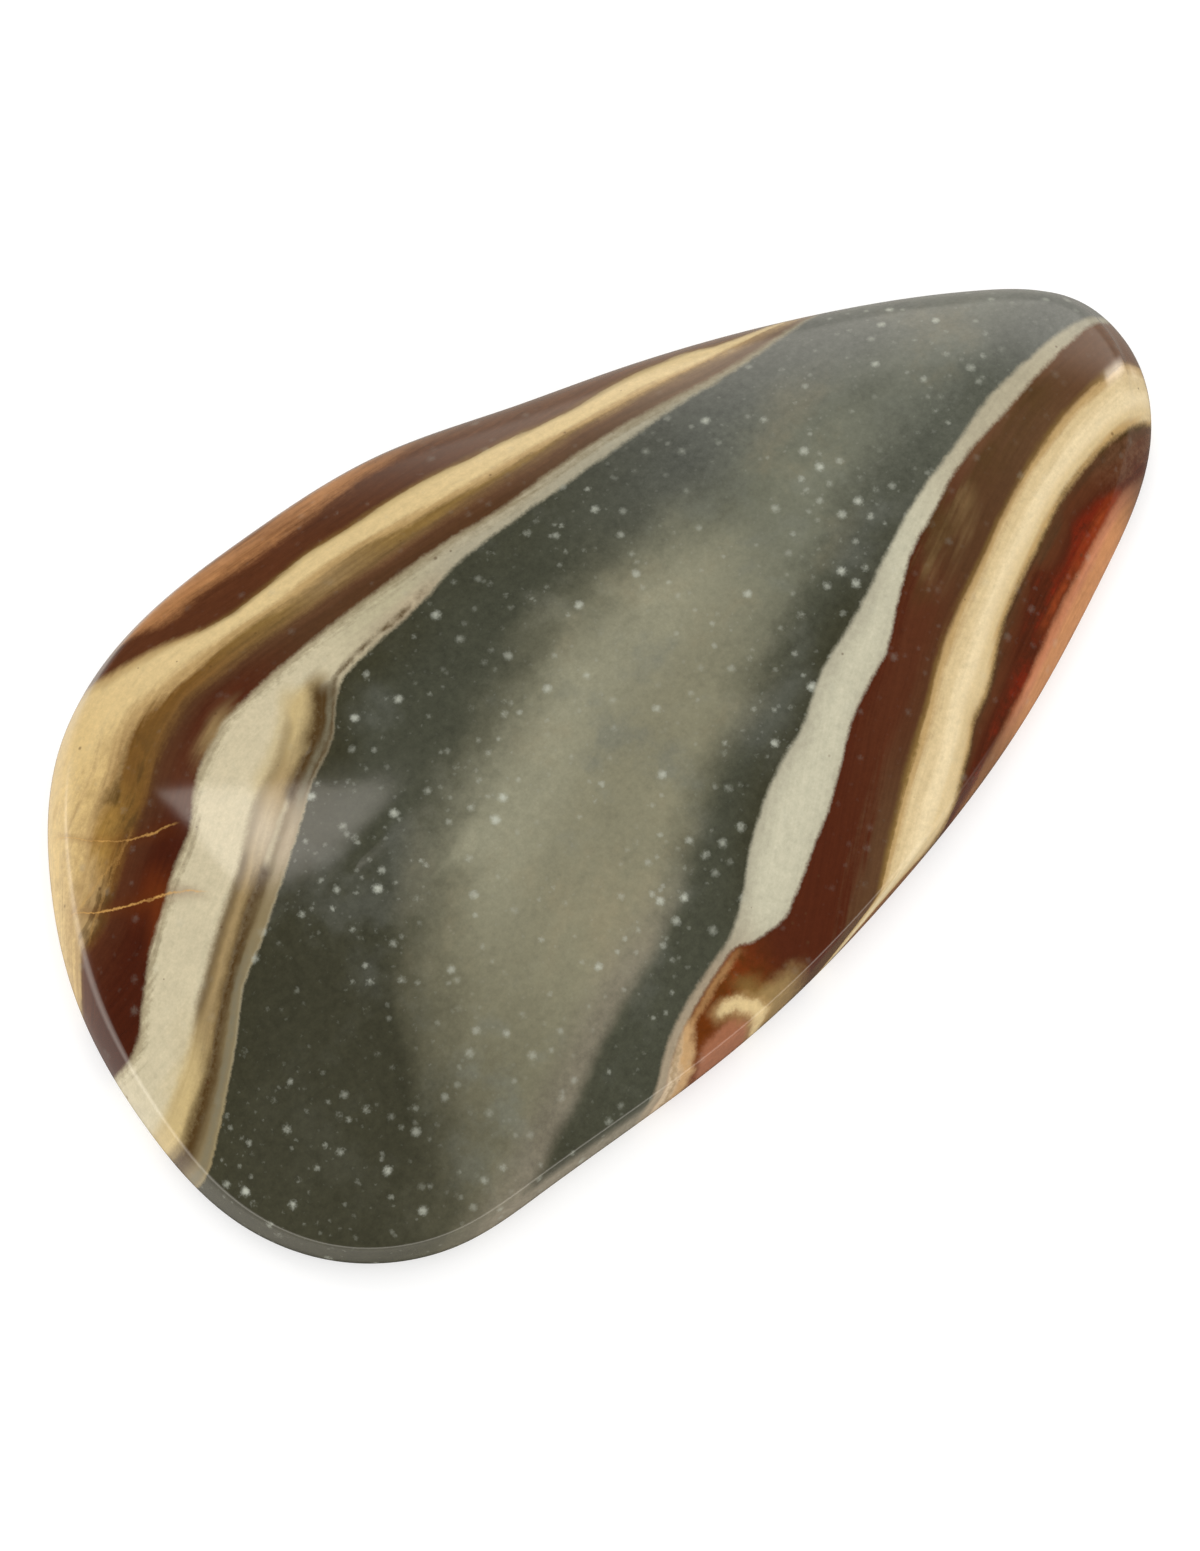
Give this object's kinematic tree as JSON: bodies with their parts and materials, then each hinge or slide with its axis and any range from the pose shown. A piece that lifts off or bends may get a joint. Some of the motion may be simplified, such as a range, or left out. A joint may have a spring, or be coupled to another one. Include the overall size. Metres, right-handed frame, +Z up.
{
  "type": "polished jasper slab",
  "caption": "Polished freeform slab of banded jasper with a flat back and a gently domed face, to lie on a table or shelf.",
  "frame": {"origin": "middle of the slab's length and width, on the plane of its flat back", "axes": "+X along the length, towards the narrow end; +Y across the width, towards the side where the face rolls over softly; +Z up out of the domed face"},
  "size_m": [0.0756, 0.043, 0.009],
  "materials": {
    "polychrome_jasper": "polished"
  },
  "bodies": {
    "root": {"jasper_slab": "polychrome_jasper"}
  },
  "joints": []
}
